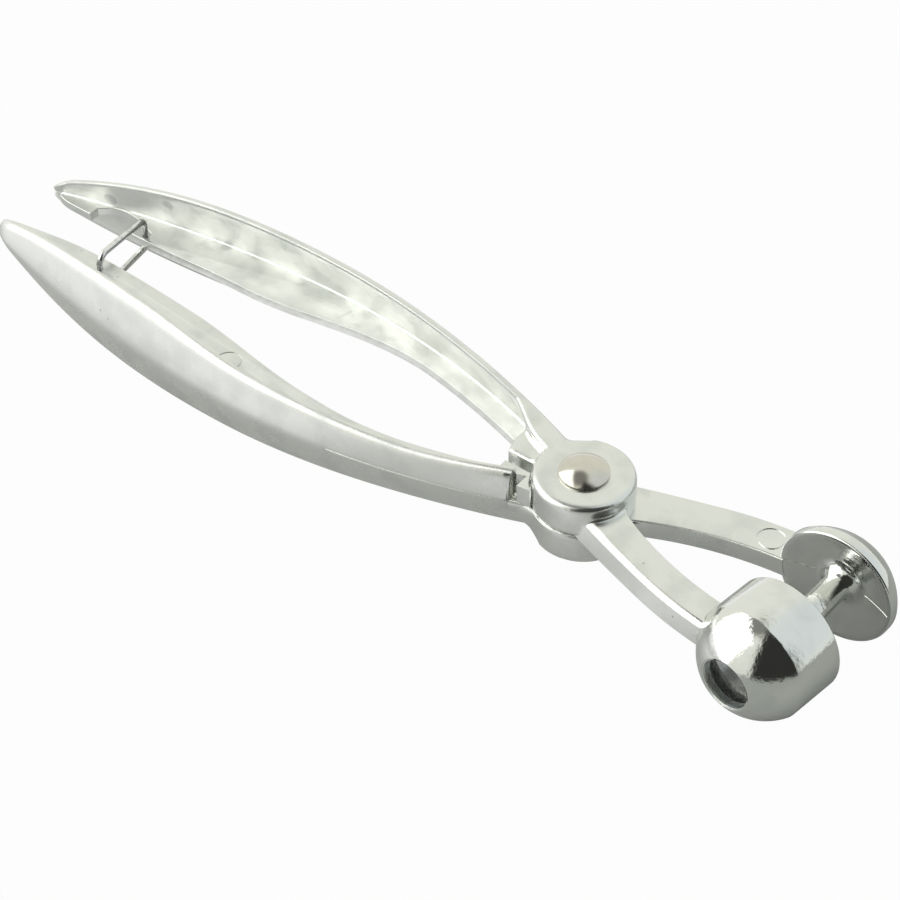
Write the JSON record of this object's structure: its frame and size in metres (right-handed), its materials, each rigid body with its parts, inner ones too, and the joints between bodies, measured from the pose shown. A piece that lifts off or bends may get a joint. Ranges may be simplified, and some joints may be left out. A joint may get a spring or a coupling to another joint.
{
  "type": "cherry pitter",
  "caption": "Die-cast hand cherry pitter: crossed levers on a rivet, with a holed cup, a plunger on a dish, bowed handles and a wire latch at the tips.",
  "frame": {"origin": "on the rivet's axis, in the flat underside of the lower hub and of the rivet's set tail", "axes": "+X from the rivet to the jaws, +Y to the side of the lower lever's jaw with the plunger, +Z along the rivet to its domed head"},
  "size_m": [0.2117, 0.0443, 0.0242],
  "materials": {
    "cast_aluminium": "tumbled die-cast metal with a satin to bright surface",
    "rivet_steel": "smooth plated steel",
    "spring_steel": "drawn wire",
    "latch_wire": "plated drawn wire"
  },
  "bodies": {
    "root": {"lower_lever": "cast_aluminium", "pivot_rivet": "rivet_steel", "return_spring": "spring_steel"},
    "upper": {"upper_lever": "cast_aluminium"},
    "latch": {"latch_loop": "latch_wire"}
  },
  "joints": [
    {"name": "lever_pivot", "type": "hinge", "parent": "root", "child": "upper", "pos_m": [0, 0, 0.0073], "axis": [0, 0, 1], "range_deg": [0, 5.6], "stiffness_Nm_per_rad": 0.6, "springref_deg": -25.21, "deforming": ["return_spring"]},
    {"name": "latch_swing", "type": "hinge", "parent": "root", "child": "latch", "pos_m": [-0.12, -0.0075, 0.0073], "axis": [0, 0, 1], "range_deg": [0, 75]}
  ],
  "couplings": [
    {"joint": "latch_swing", "follows": "lever_pivot", "ratio": 12.143}
  ]
}
